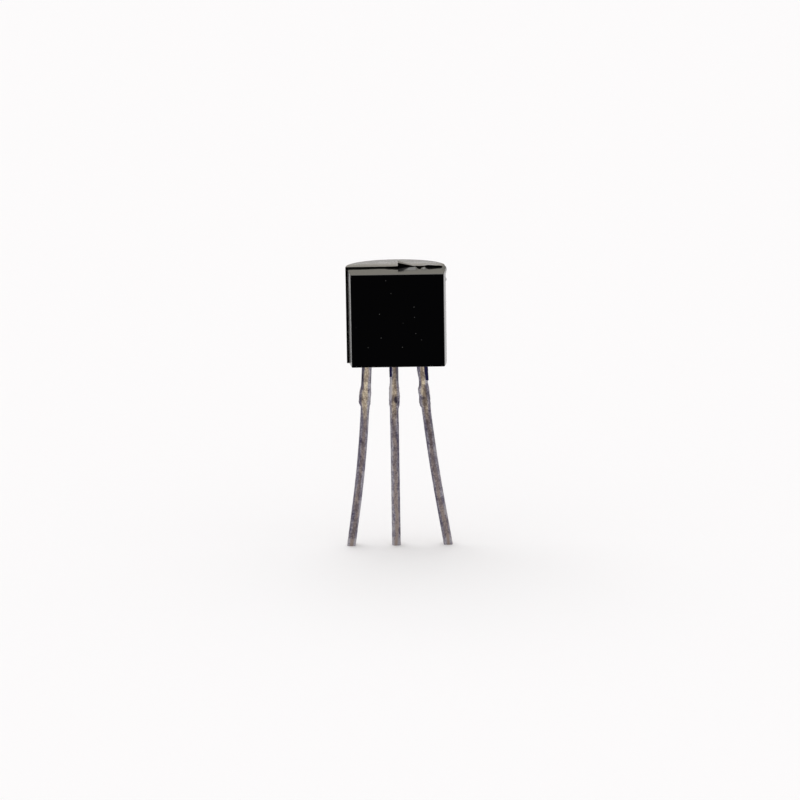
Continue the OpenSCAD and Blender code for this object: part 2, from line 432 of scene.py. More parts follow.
    def build(self) -> bpy.types.Material:
        """Makes the material."""
        made, tree = new_material(self.name)
        where = add_node(tree, "ShaderNodeTexCoord").outputs["Object"]
        depth = add_node(tree, "ShaderNodeSeparateXYZ", links={"Vector": where}).outputs["Y"]
        turn = add_node(tree, "ShaderNodeSeparateXYZ", links={
            "Vector": add_node(tree, "ShaderNodeNewGeometry").outputs["Normal"]})
        grit, cloud = (add_node(tree, "ShaderNodeTexNoise", values={
            "Scale": per_size(size), "Detail": detail, "Roughness": rough},
            links={"Vector": where}).outputs["Fac"] for size, detail, rough in (self.grit, self.cloud))
        bump = add_node(tree, "ShaderNodeBump", values={
            "Strength": self.bump, "Distance": self.bump_mm * MM}, links={"Height": grit})
        shader = add_node(tree, "ShaderNodeBsdfPrincipled", values={
            "Metallic": 0.0, "IOR": self.ior, "Sheen Weight": self.sheen,
            "Sheen Roughness": self.sheen_roughness, "Sheen Tint": linear(self.sheen_tint)}, links={
            "Base Color": self.tone(tree, where, depth),
            "Roughness": self.gloss(tree, cloud, depth, turn.outputs["Z"]),
            "Specular IOR Level": self.shine(tree, grit, cloud, turn.outputs["Y"]),
            "Normal": bump.outputs["Normal"]})
        add_node(tree, "ShaderNodeOutputMaterial", links={"Surface": shader.outputs["BSDF"]})
        return made


@dataclass(frozen=True)
class TinPlate:
    """Tin plate on stamped copper: a warm mottled middle between cool grey edges of painted shade, lighter
    near the body.
    """

    # Dark, middle and light tone of each zone: the neck, the tail, and the front edges, whose cool grey is
    # painted shade
    bright: Tuple[str, str, str] = ("#75695f", "#ac9d8b", "#dccfb6")
    dull: Tuple[str, str, str] = ("#564d4f", "#7d7376", "#9f928c")
    edge: Tuple[str, str, str] = ("#4c475b", "#827e8b", "#b2b0b8")
    stain: str = "#2b2636"
    # Mottling: patches drawn out along the lead, round flecks whose lightest are painted glints, and a border
    # that wanders
    patch_mm: float = 0.19
    fleck_mm: float = 0.06
    wander_mm: float = 0.45
    detail: Flat = (4.0, 0.6)
    drawn: float = 0.4
    fleck_share: float = 0.7
    # Tones: the mottling's level at the middle tone, and how far from it the dark and light tones lie
    centre: float = 0.85
    swing: float = 0.2
    # Zones: half width of the warm middle, end of the bright neck, depth of the lead's front; the front edges
    # outside the middle get the painted shade
    wander_span: Flat = (0.3, 0.7)
    sway: float = 0.28
    core_span: Flat = (0.68, 0.2)
    neck_span: Flat = (1.9, 3.0)
    side_y: Flat = (-0.16, -0.06)
    # Painted light and shade: how far the lit side moves the tone of the edges
    lit_share: float = 0.08
    patch_span: Flat = (0.35, 0.65)
    roughness: Flat = (0.36, 0.58)
    bump: float = 0.4
    bump_mm: float = 0.01

    def middle(self, tree: bpy.types.NodeTree, across: Socket, wander: Socket) -> Socket:
        """Makes the share of the warm middle, whose borders wander along the lead; outside it the front edges
        get painted shade.

        Args:
            tree: Node tree of the material.
            across: Place across the lead, from -1 to 1.
            wander: Noise that moves the borders.

        Returns:
            The share.
        """
        sway = add_node(tree, "ShaderNodeMapRange", spans=(*self.wander_span, -self.sway, self.sway),
                        links={"Value": wander})
        moved = add_node(tree, "ShaderNodeMath", settings={"operation": "ADD"}, links={
            0: across, 1: sway.outputs["Result"]})
        away = add_node(tree, "ShaderNodeMath", settings={"operation": "ABSOLUTE"}, links={
            0: moved.outputs["Value"]})
        share = add_node(tree, "ShaderNodeMapRange", settings={"interpolation_type": "SMOOTHSTEP"},
                         spans=(*self.core_span, 0.0, 1.0), links={"Value": away.outputs["Value"]})
        return share.outputs["Result"]

    def palette(self, tree: bpy.types.NodeTree, grain: Socket, tone: Socket,
                lit: Socket) -> Tuple[Socket, Socket, Socket]:
        """Makes the mottled colours of the zones.

        Args:
            tree: Node tree of the material.
            grain: Mottling.
            tone: How light the lead is along its length.
            lit: Painted light and shade of its edges, from its lit side and its bright spots.

        Returns:
            The colours of the neck, the tail and the edges.
        """
        mottle = add_node(tree, "ShaderNodeMath", settings={"operation": "ADD"}, links={0: grain, 1: tone})
        # The edges' tone: mottling with painted light and shade added
        mottle_and_painted_light = add_node(tree, "ShaderNodeMath", settings={"operation": "MULTIPLY_ADD"},
                          values={1: self.lit_share}, links={0: lit, 2: grain})
        bright, dull, edge = (add_node(
            tree, "ShaderNodeValToRGB", links={"Fac": level.outputs["Value"]}, stops=(
                (self.centre - self.swing, tones[0]), (self.centre + self.swing, tones[2]),
                (self.centre, tones[1]))).outputs["Color"]
            for tones, level in ((self.bright, mottle), (self.dull, mottle), (self.edge, mottle_and_painted_light)))
        return bright, dull, edge

    def colour(self, tree: bpy.types.NodeTree, zones: Tuple[Socket, Socket, Socket], inside: Socket,
               below: Socket, depth: Socket) -> Socket:
        """Puts the zones together: neck, tail, front edges in painted shade, and dull sides and back.

        Args:
            tree: Node tree of the material.
            zones: Colours of the neck, the tail and the edges.
            inside: Share of the warm middle.
            below: Length below the body's underside.
            depth: Y of the Object coordinates.

        Returns:
            The colour.
        """
        bright, dull, edge = zones
        neck = add_node(tree, "ShaderNodeMapRange", settings={"interpolation_type": "SMOOTHSTEP"},
                        spans=(*self.neck_span, 1.0, 0.0), links={"Value": below})
        back = add_node(tree, "ShaderNodeMapRange", spans=(*(y * MM for y in self.side_y), 0.0, 1.0),
                        links={"Value": depth})
        rim = add_node(tree, "ShaderNodeMix", settings={"data_type": "RGBA"}, links={
            0: back.outputs["Result"], 6: edge, 7: dull})
        core = add_node(tree, "ShaderNodeMix", settings={"data_type": "RGBA"}, links={
            0: neck.outputs["Result"], 6: dull, 7: bright})
        whole = add_node(tree, "ShaderNodeMix", settings={"data_type": "RGBA"}, links={
            0: inside, 6: rim.outputs[2], 7: core.outputs[2]})
        return whole.outputs[2]

    def build(self) -> bpy.types.Material:
        """Makes the material."""
        made, tree = new_material("mottled_tin_plate")
        where = add_node(tree, "ShaderNodeTexCoord").outputs["Object"]
        depth = add_node(tree, "ShaderNodeSeparateXYZ", links={"Vector": where}).outputs["Y"]
        drawn = add_node(tree, "ShaderNodeMapping", values={"Scale": (1.0, 1.0, self.drawn)},
                         links={"Vector": where}).outputs["Vector"]
        run, spot, tone = (add_node(tree, "ShaderNodeAttribute", settings={
            "attribute_type": "GEOMETRY", "attribute_name": name}) for name in ("run", "stain", "tone"))
        on_lead = add_node(tree, "ShaderNodeSeparateXYZ", links={"Vector": run.outputs["Vector"]}).outputs
        patch, fleck, wander = (add_node(tree, "ShaderNodeTexNoise", values={
            "Scale": per_size(size), "Detail": self.detail[0], "Roughness": self.detail[1]},
            links={"Vector": space}).outputs["Fac"] for size, space in (
                (self.patch_mm, drawn), (self.fleck_mm, where), (self.wander_mm, drawn)))
        grain = add_node(tree, "ShaderNodeMath", settings={"operation": "MULTIPLY_ADD"},
                         values={1: self.fleck_share}, links={0: fleck, 2: patch}).outputs["Value"]
        # The Z of run carries the painted light and shade of the edges
        zones = self.palette(tree, grain, tone.outputs["Fac"], on_lead["Z"])
        inside = self.middle(tree, on_lead["X"], wander)
        stained = add_node(tree, "ShaderNodeMix", settings={"data_type": "RGBA"},
                           values={7: linear(self.stain)}, links={
            0: spot.outputs["Fac"], 6: self.colour(tree, zones, inside, on_lead["Y"], depth)})
        gloss = add_node(tree, "ShaderNodeMapRange", spans=(*self.patch_span, *self.roughness),
                         links={"Value": patch})
        bump = add_node(tree, "ShaderNodeBump", values={
            "Strength": self.bump, "Distance": self.bump_mm * MM}, links={"Height": grain})
        shader = add_node(tree, "ShaderNodeBsdfPrincipled", values={"Metallic": 1.0}, links={
            "Base Color": stained.outputs[2], "Roughness": gloss.outputs["Result"],
            "Normal": bump.outputs["Normal"]})
        add_node(tree, "ShaderNodeOutputMaterial", links={"Surface": shader.outputs["BSDF"]})
        return made


@dataclass(frozen=True)
class InnerFinish:
    """Finish of a hidden piece: one colour, clouded by a noise of a real size."""

    name: str
    low: str
    high: str
    grain_mm: float
    metallic: float
    roughness: float
    span: Flat = (0.3, 0.7)
    detail: Flat = (3.0, 0.55)
    bump: float = 0.2
    bump_mm: float = 0.003

    def build(self) -> bpy.types.Material:
        """Makes the material."""
        made, tree = new_material(self.name)
        where = add_node(tree, "ShaderNodeTexCoord").outputs["Object"]
        grain = add_node(tree, "ShaderNodeTexNoise", values={
            "Scale": per_size(self.grain_mm), "Detail": self.detail[0], "Roughness": self.detail[1]},
            links={"Vector": where})
        tone = add_node(tree, "ShaderNodeValToRGB", links={"Fac": grain.outputs["Fac"]},
                        stops=((self.span[0], self.low), (self.span[1], self.high)))
        bump = add_node(tree, "ShaderNodeBump", values={
            "Strength": self.bump, "Distance": self.bump_mm * MM}, links={"Height": grain.outputs["Fac"]})
        shader = add_node(tree, "ShaderNodeBsdfPrincipled", values={
            "Metallic": self.metallic, "Roughness": self.roughness},
            links={"Base Color": tone.outputs["Color"], "Normal": bump.outputs["Normal"]})
        add_node(tree, "ShaderNodeOutputMaterial", links={"Surface": shader.outputs["BSDF"]})
        return made


@dataclass(frozen=True)
class InnerParts:
    """Hidden pieces of the package, which keep their CAD shapes."""

    # Silver-filled adhesive: pale grey paste with visible metal flakes
    paste: InnerFinish = InnerFinish("silver_filled_adhesive", "#8f8f8c", "#c4c4c0", grain_mm=0.05,
                                     metallic=0.6, roughness=0.5)
    # Polished silicon: dark blue-grey mirror with a faint clouding from its passivation
    silicon: InnerFinish = InnerFinish("polished_silicon", "#3a3d4a", "#4c4f5e", grain_mm=0.3,
                                       metallic=0.3, roughness=0.18)
    # Drawn gold wire: warm yellow metal with faint drawing marks
    gold: InnerFinish = InnerFinish("drawn_gold_wire", "#c99a3c", "#e0b455", grain_mm=0.03,
                                    metallic=1.0, roughness=0.25)

    def dress(self, nodes: Dict[str, bpy.types.Object]) -> None:
        """Gives the hidden CAD nodes their finishes.

        Args:
            nodes: CAD objects by node name.
        """
        for finish, names in ((self.paste, ("die_attach",)), (self.silicon, ("die",)),
                              (self.gold, ("wire_left", "wire_down", "wire_right"))):
            made = finish.build()
            for name in names:
                nodes[name].data.materials.clear()
                nodes[name].data.materials.append(made)
                LOG.info("%s: dressed as %s", name, finish.name)


@dataclass
class MouldedBody:
    """Two-part moulding: drafted front half, round rear half, broken gate stub and ejector dimple."""

    name: str = "body_moulding"
    node: str = "epoxy_body"
    # Halves: sizes, place, and drafts in degrees for left and right and for lower and upper end
    width: float = 4.536
    height: float = 4.51
    front_depth: float = 1.05
    front_w: float = 4.21
    front_h: float = 4.31
    side_draft: Flat = (7.8, 5.0)
    end_draft: Flat = (2.5, 3.9)
    side_bow: float = 0.023
    bow_rows: int = 12
    rear_draft: float = 5.5
    shift: Flat = (0.069, -0.052)
    place_at: Point = (0.134, -0.2, 8.74)
    # Gate stub: its left end, and a fracture that leans by an angle in degrees
    gate_x: float = 0.112
    gate_len: float = 0.74
    gate_rise: float = 0.145
    gate_front: float = 0.1
    gate_back: float = 0.45
    gate_root: float = 0.22
    gate_lean: float = 33.0
    gate_block: float = 2.0
    # Ejector dimple and the plug that leaves it
    dimple_d: float = 1.5
    dimple_depth: float = 0.2
    dimple_round: float = 0.05
    dimple_facets: int = 64
    plug_len: float = 1.0
    # Edges, the lap of the halves and the fineness of the mesh
    nose_round: float = 0.035
    rim_round: float = 0.02
    lap: float = 0.1
    weld_gap: float = 0.0005
    facets: int = 160
    sharp_deg: float = 28.0
    # Flash: how far the parting edges wander, as tables of a place along the edge and a lift
    flash_step: float = 0.05
    flash_reach: float = 0.5
    flash_rows: int = 6
    flash_ripple: float = 0.006
    ripple_per_mm: float = 5.0
    ripple_row: float = 3.0
    side_rows: int = 24
    burr_reach: float = 0.25
    front_flash: Tuple[Flat, ...] = (
        (-2.3, -0.006), (-1.25, -0.004), (-1.1, 0.002), (-0.57, 0.002), (-0.43, -0.002), (-0.3, -0.004),
        (-0.2, -0.01), (0.12, -0.012), (0.3, 0.008), (0.48, 0.034), (0.67, 0.06), (0.93, 0.055), (1.03, 0.0),
        (1.12, -0.015), (1.2, 0.03), (1.34, 0.055), (1.42, 0.01), (1.48, 0.0), (1.75, 0.0), (1.9, 0.002),
        (2.06, 0.004), (2.14, 0.025), (2.4, 0.03))
    side_flash: Tuple[Flat, ...] = (
        (3.79, 0.0), (3.82, 0.035), (3.85, 0.035), (3.97, 0.0), (4.1, 0.006), (4.2, 0.03), (4.3, 0.05),
        (4.38, 0.04), (4.46, 0.01))
    rear_flash: Tuple[Flat, ...] = (
        (-2.3, -0.016), (-0.2, -0.016), (0.1, 0.0), (1.3, 0.0), (1.45, 0.03), (1.6, 0.025), (1.75, 0.01),
        (1.92, 0.0), (2.06, 0.0), (2.15, -0.045), (2.28, -0.1))

    @property
    def front_top(self) -> float:
        """Height of the front half's top where it meets the rear half."""
        rise = self.front_depth * math.tan(math.radians(self.end_draft[1]))
        return (self.height + self.front_h) / 2 + self.shift[1] + rise

    def rear(self) -> bmesh.types.BMesh:
        """Round half behind the parting plane."""
        bm = bmesh.new()
        radius = self.width / 2
        bmesh.ops.create_cone(bm, cap_ends=True, segments=self.facets, radius1=radius, radius2=radius,
                              depth=2 * self.height)
        bmesh.ops.translate(bm, vec=(0, 0, self.height / 2), verts=bm.verts[:])
        lean = math.tan(math.radians(self.rear_draft))
        cut_off(bm, (0, 0, 0), (0, -1, 0))
        cut_off(bm, (0, 0, self.height), (0, lean, 1))
        cut_off(bm, (0, 0, 0), (0, lean, -1))
        round_edges(bm, lambda e: any(abs(f.normal.z) > FACES_AXIS for f in e.link_faces)
                    and any(abs(f.normal.z) < FACES_ASIDE for f in e.link_faces), self.rim_round)
        self.creep(bm, self.rear_flash, 1.0)
        return bm

    def front(self) -> bmesh.types.BMesh:
        """Half in front of the parting plane, its back lapped into the rear half."""
        bm = bmesh.new()
        deep = self.front_depth
        bmesh.ops.create_cube(bm, size=1.0)
        bmesh.ops.scale(bm, vec=(2 * self.width, deep + self.lap, 2 * self.height), verts=bm.verts[:])
        bmesh.ops.translate(bm, vec=(0, (self.lap - deep) / 2, self.height / 2), verts=bm.verts[:])
        middle = self.height / 2 + self.shift[1]
        for sign, side, end in zip((-1, 1), self.side_draft, self.end_draft):
            cut_off(bm, (self.shift[0] + sign * self.front_w / 2, -deep, 0),
                    (sign, -math.tan(math.radians(side)), 0))
            cut_off(bm, (0, -deep, middle + sign * self.front_h / 2), (0, -math.tan(math.radians(end)), sign))
        round_edges(bm, lambda e: not any(f.normal.y > FACES_AXIS for f in e.link_faces), self.nose_round)
        self.creep(bm, self.front_flash, -1.0)
        self.bow(bm)
        return bm

    def creep(self, bm: bmesh.types.BMesh, lifts: Sequence[Flat], way: float) -> None:
        """Lets the top edge of a mould half wander where resin crept along the parting line.

        Args:
            bm: Mesh of the mould half.
            lifts: Lift of the edge at places along it.
            way: Direction of the half along Y, seen from the parting plane.
        """
        for i in range(1, int(self.width / self.flash_step)):
            slice_at(bm, (i * self.flash_step - self.width / 2, 0, 0), (1, 0, 0))
        for i in range(self.flash_rows + 1):
            slice_at(bm, (0, way * self.flash_reach * i / self.flash_rows, 0), (0, 1, 0))
        for v in bm.verts:
            if v.co.z < self.height - self.gate_root:
                continue
            ripple = noise.noise((v.co.x * self.ripple_per_mm, self.ripple_row * way, 0.0))
            lift = along(lifts, v.co.x) + self.flash_ripple * ripple
            v.co.z += lift * (1.0 - smooth_step(0.0, self.flash_reach, way * v.co.y))

    def bow(self, bm: bmesh.types.BMesh) -> None:
        """Bows the right side of the front half outwards and leaves a burr at its upper end.

        Args:
            bm: Mesh of the front half.
        """
        for i in range(1, self.bow_rows):
            slice_at(bm, (0, -self.front_depth * i / self.bow_rows, 0), (0, 1, 0))
        low, high = self.side_flash[0][0], self.side_flash[-1][0]
        for i in range(self.side_rows):
            slice_at(bm, (0, 0, low + (high - low) * i / self.side_rows), (0, 0, 1))
        start = self.front_w / 2 + self.shift[0] - self.nose_round
        for v in bm.verts:
            share = min(1.0, max(0.0, -v.co.y / self.front_depth))
            if v.co.x > start:
                # A parabola across the side, which reaches side_bow in its middle
                v.co.x += 4.0 * self.side_bow * share * (1.0 - share)
                v.co.x += along(self.side_flash, v.co.z) * (1.0 - smooth_step(0.0, self.burr_reach, share))

    def gate(self) -> bmesh.types.BMesh:
        """Broken gate stub: a fin that is highest at its left end and dies away to the right."""
        bm = bmesh.new()
        tall = self.gate_root + self.gate_rise
        bmesh.ops.create_cube(bm, size=1.0)
        bmesh.ops.scale(bm, vec=(self.gate_len, self.gate_block, 2 * tall), verts=bm.verts[:])
        bmesh.ops.translate(bm, vec=(self.gate_x + self.gate_len / 2, 0, self.height - self.gate_root + tall),
                            verts=bm.verts[:])
        tip = (self.gate_x + self.gate_len, 0, self.height)
        lean = math.radians(self.gate_lean)
        cut_off(bm, tip, (self.gate_back, self.gate_len, 0))
        cut_off(bm, tip, (self.gate_rise, 0, self.gate_len))
        cut_off(bm, (0, -self.gate_front, self.front_top), (0, -math.cos(lean), math.sin(lean)))
        return bm

    def dimple(self) -> bmesh.types.BMesh:
        """Plug that leaves the ejector dimple in the round back."""
        bm = bmesh.new()
        bmesh.ops.create_cone(bm, cap_ends=True, segments=self.dimple_facets, radius1=self.dimple_d / 2,
                              radius2=self.dimple_d / 2, depth=self.plug_len)
        bmesh.ops.rotate(bm, matrix=Matrix.Rotation(math.pi / 2, 3, "X"), verts=bm.verts[:])
        bmesh.ops.translate(bm, vec=(0, self.width / 2 - self.dimple_depth + self.plug_len / 2,
                                     self.height / 2), verts=bm.verts[:])
        round_edges(bm, lambda e: any(f.normal.y < -FACES_AXIS for f in e.link_faces), self.dimple_round)
        return bm

    def build(self) -> bpy.types.Object:
        """Makes the whole moulding as one closed solid."""
        pieces = []
        for made, name in ((self.rear(), self.name), (self.front(), "front"), (self.gate(), "gate"),
                           (self.dimple(), "dimple")):
            bmesh.ops.translate(made, vec=self.place_at, verts=made.verts[:])
            pieces.append(make_object(made, name))
        rear, front, gate, dimple = pieces
        combine(rear, (front, gate), "UNION")
        combine(rear, (dimple,), "DIFFERENCE")
        weld(rear, self.weld_gap * MM)
        shade(rear, self.sharp_deg)
        return rear

    def dress(self, finish: bpy.types.Material) -> None:
        """Builds the moulding and gives it its finish."""
        place(self.build(), finish, Slot.EPOXY, self.node)


@dataclass(frozen=True)
class Stain:
    """Spot on a lead: where it lies along and across the lead, how far it spreads and how dark it is.

    A negative depth makes a bright spot; the one just above the table is a painted reflection of
    the table. The spot is even up to the share full of its spread and fades from there.
    """

    below: float
    across: float
    spread: Flat
    depth: float = 1.0
    full: float = 0.35

    def strength(self, below: float, across: float) -> float:
        """Darkness at a place on the lead."""
        far = math.hypot((below - self.below) / self.spread[0], (across - self.across) / self.spread[1])
        return self.depth * (1.0 - smooth_step(self.full, 1.0, far))


@dataclass(frozen=True)
class Ring:
    """Ring of a lead's skin: its middle, heading, half widths outwards and inwards, thickness and place."""

    middle: Flat
    heading: float
    halves: Flat
    thick: float
    below: float


@dataclass
class LeadMarks:
    """Layers of a lead's mesh: a point's number in its ring, its place on the lead with the painted light and
    shade of its edges, stain and tone.
    """

    index: bmesh.types.BMLayerItem
    run: bmesh.types.BMLayerItem
    stain: bmesh.types.BMLayerItem
    tone: bmesh.types.BMLayerItem

    @classmethod
    def add_to(cls, bm: bmesh.types.BMesh) -> "LeadMarks":
        """Adds the layers to a mesh."""
        layers = bm.verts.layers
        return cls(layers.int.new("index"), layers.float_vector.new("run"), layers.float.new("stain"),
                   layers.float.new("tone"))


@dataclass
class Lead:
    """Stamped lead with its inner landing, sheared dambar stub and bent tail.

    The outline gives the half widths outwards and inwards, and the tones how light the lead is, at
    lengths below the body's underside; their rise just above the table is a painted reflection of the
    table. The arcs are the degrees by which it turns outwards inside the body, at its stub and along its
    curl. Its lit side, when positive, paints its right edge lighter and its left edge darker: painted
    light and shade.
    """

    name: str
    node: str
    side: Side
    leave_x: float
    landing: Tuple[float, float, float, float]
    arcs: Point
    # Painted light and shade: its sign says which edge is painted lit and which painted shaded
    painted_lit_side: float
    seed: float
    outline: Tuple[Point, ...]
    tones: Tuple[Flat, ...]
    stains: Tuple[Stain, ...]
    thick: float = 0.40
    length: float = 13.5
    base_z: float = 8.74
    # Below the body: the stub's two ends, the bend's start and length, and the curl's length
    stub: Flat = (1.22, 2.06)
    bend: Flat = (0.9, 1.2)
    curl_len: float = 4.7
    # Skin: points in a ring, how square it is, and the spacing of the rings
    around: int = 48
    squareness: float = 5.0
    ring_step: float = 0.045
    fine_past: float = 0.6
    tail_step: float = 0.25
    tip_gap: float = 0.3
    root_gap: float = 0.02
    end_round: float = 0.03
    tip_taper: float = 0.85
    landing_taper: Flat = (0.94, 0.9)
    hidden_below: float = -5.0
    sharp_deg: float = 60.0
    # Bright spots, the painted reflection of the table among them: how much lighter a bright spot makes the
    # edges and the middle
    bright_spot_edge: float = 2.0
    bright_spot_tone: float = 0.16
    # Roughness: waves in a millimetre, depth, and depth added where the stub was torn
    tear_in: Flat = (-0.3, 0.1)
    tear_out: Flat = (-0.1, 0.2)
    dents: Point = (6.0, 0.004, 0.014)
    pits: Point = (17.0, 0.0025, 0.007)

    @property
    def sign(self) -> float:
        """Direction of the lead's outer side along X; the centre lead takes its right side for it."""
        return -1.0 if self.side is Side.LEFT else 1.0

    def path(self, s: float) -> Point:
        """Follows the lead's middle line.

        Args:
            s: Length from the landing's lower edge.

        Returns:
            Offset outwards, offset downwards and heading in radians.
        """
        lean, bend, curl = (math.radians(a) for a in self.arcs)
        chain = ((self.landing[2], lean), (self.bend[0], 0.0), (self.bend[1], bend), (self.curl_len, curl),
                 (self.length, 0.0))
        x = z = heading = 0.0
        for long, turn in chain:
            part = min(s, long)
            turned = turn * part / long
            chord = part * (1.0 if abs(turned) < STRAIGHT else math.sin(turned / 2) / (turned / 2))
            x += chord * math.sin(heading + turned / 2)
            z += chord * math.cos(heading + turned / 2)
            heading += turned
            s -= part
            if s <= 0:
                break
        return x, z, heading

    def middle(self, below: float) -> Flat:
        """Place of the middle line, outwards and upwards, at a length below the body's underside."""
        inner = self.landing[2]
        x, z, _ = self.path(below + inner)
        return self.leave_x - self.path(inner)[0] + x, inner - z

    def stations(self) -> List[float]:
        """Lengths of the rings along the path, finer where the lead shows."""
        inner = self.landing[2]
        fine = int((self.base_z + inner + self.fine_past) / self.ring_step)
        marks = [i * self.ring_step for i in range(fine + 1)]
        end = inner + self.length
        while marks[-1] < end - self.tip_gap:
            marks.append(marks[-1] + self.tail_step)
        return marks + [end - self.end_round, end]

    def rings(self) -> List[Ring]:
        """Rings of the skin, from the upper edge of the landing to the tip."""
        land_from, land_w, land_z, land_h = self.landing
        wide, deep = self.landing_taper
        made = []
        for drop, width, thick in ((0.0, wide, deep), (self.end_round, 1.0, 1.0),
                                   (land_h - self.end_round, 1.0, 1.0), (land_h, wide, wide)):
            half = land_w * width / 2
            made.append(Ring((land_from + land_w / 2, land_z + land_h - drop), 0.0, (half, half),
                             self.thick * thick, self.hidden_below))
        for s in self.stations():
            below = s - land_z
            end = self.tip_taper if below >= self.length else 1.0
            halves = (along(self.outline, below, 1) * end, along(self.outline, below, 2) * end)
            made.append(Ring(self.middle(below), self.path(s)[2], halves, self.thick * end, below))
        return made

    def lay(self, points: Sequence[bmesh.types.BMVert], marks: LeadMarks, ring: Ring) -> None:
        """Puts the points of a ring in their places and notes where on the lead they lie.

        Args:
            points: Points of the ring.
            marks: Layers that take the notes.
            ring: Where the ring lies and how wide it is.
        """
        for v in points:
            turn = 2 * math.pi * v[marks.index] / self.around
            c, d = math.cos(turn), math.sin(turn)
            reach = (abs(c) ** self.squareness + abs(d) ** self.squareness) ** (-1.0 / self.squareness)
            u, w = c * reach, d * reach
            out = u * (ring.halves[0] if u > 0 else ring.halves[1])
            v.co = (self.sign * (ring.middle[0] + out * math.cos(ring.heading)), w * ring.thick / 2,
                    self.base_z + ring.middle[1] + out * math.sin(ring.heading))
            across = self.sign * u
            mark = sum(spot.strength(ring.below, across) for spot in self.stains)
            # Bright spots lighten the metal; the one just above the table is a painted reflection of it
            bright_spot = max(0.0, -mark)
            # The third value of run paints light and shade on the edges: the lit side lightens one edge and
            # darkens the other, and bright spots lighten them
            v[marks.run] = (across, ring.below, across * self.painted_lit_side + self.bright_spot_edge * bright_spot)
            v[marks.tone] = along(self.tones, ring.below) + self.bright_spot_tone * bright_spot
            v[marks.stain] = min(1.0, max(0.0, mark))

    def roughen(self, bm: bmesh.types.BMesh, run: bmesh.types.BMLayerItem) -> None:
        """Moves the skin in and out a little, most at the sheared stub.

        Args:
            bm: Mesh of the lead in millimetres.
            run: Layer with each point's place across and along the lead.
        """
        bm.normal_update()
        into, past = ([edge + shift for shift in shifts]
                      for edge, shifts in zip(self.stub, (self.tear_in, self.tear_out)))
        moves = []
        for v in bm.verts:
            below = v[run][1]
            if below < self.root_gap or below > self.length - self.tip_gap:
                continue
            torn = smooth_step(*into, below) * (1 - smooth_step(*past, below))
            at = v.co + Vector((self.seed, 0, 0))
            waves, depth, tear = self.dents
            rough = noise.fractal(at * waves, *OCTAVES) * (depth + tear * torn)
            waves, depth, tear = self.pits
            rough += noise.noise(at * waves) * (depth + tear * torn)
            moves.append((v, v.normal * rough))
        for v, move in moves:
            v.co += move

    def build(self) -> bpy.types.Object:
        """Makes the lead as one closed skin, drawn ring by ring from the landing to the tip."""
        bm = bmesh.new()
        marks = LeadMarks.add_to(bm)
        bmesh.ops.create_circle(bm, cap_ends=False, segments=self.around, radius=1.0)
        for i, v in enumerate(bm.verts):
            v[marks.index] = i
        first, *others = self.rings()
        rim = bm.edges[:]
        self.lay(bm.verts[:], marks, first)
        bmesh.ops.contextual_create(bm, geom=rim)
        for ring in others:
            points, rim = extend(bm, rim)
            self.lay(points, marks, ring)
        bmesh.ops.contextual_create(bm, geom=rim)
        self.roughen(bm, marks.run)
        return make_object(bm, self.name, self.sharp_deg)

    def dress(self, finish: bpy.types.Material) -> None:
        """Builds the lead and gives it its finish."""
        place(self.build(), finish, Slot.TIN_PLATE, self.node)


@dataclass
class ResinBleed:
    """Chip of resin that crept out of the mould along a corner of a lead.

    It spans the two places across, stands proud of the lead's front and reaches long below the body.
    Past the share whole of its length it narrows by the share taper.
    """

    name: str
    lead: Lead
    across: Flat
    long: float
    seed: float
    taper: float = 0.0
    proud: float = 0.012
    deep: float = 0.26
    hidden: float = 0.05
    cuts: int = 7
    whole: float = 0.35
    ease: float = 0.5
    waves: float = 9.0
    rough: float = 0.012
    sharp_deg: float = 50.0

    def build(self) -> bpy.types.Object:
        """Makes the chip from a block that is laid along the lead, eased and roughened."""
        bm = bmesh.new()
        bmesh.ops.create_cube(bm, size=1.0)
        bmesh.ops.subdivide_edges(bm, edges=bm.edges[:], cuts=self.cuts, use_grid_fill=True)
        low, high = self.across
        front = -self.lead.thick / 2 - self.proud
        # The block runs from -0.5 to 0.5 each way until its points are laid along the lead
        for v in bm.verts:
            down = 0.5 - v.co.z
            below = down * (self.long + self.hidden) - self.hidden
            outer = 1.0 - self.taper * smooth_step(self.whole, 1.0, down)
            side = v.co.x + 0.5
            edge = high - (high - low) * (1 - side) * outer
            base = self.lead.middle(below)
            v.co = (self.lead.sign * (base[0] + edge), front + (v.co.y + 0.5) * self.deep,
                    self.lead.base_z + base[1])
        bmesh.ops.smooth_vert(bm, verts=bm.verts[:], factor=self.ease, use_axis_x=True, use_axis_y=True,
                              use_axis_z=True)
        bm.normal_update()
        for v in bm.verts:
            at = (v.co + Vector((self.seed, 0, 0))) * self.waves
            v.co += v.normal * noise.fractal(at, *OCTAVES) * self.rough
        return make_object(bm, self.name, self.sharp_deg)

    def dress(self, finish: bpy.types.Material) -> None:
        """Builds the chip and gives it its finish."""
        place(self.build(), finish, Slot.EPOXY)


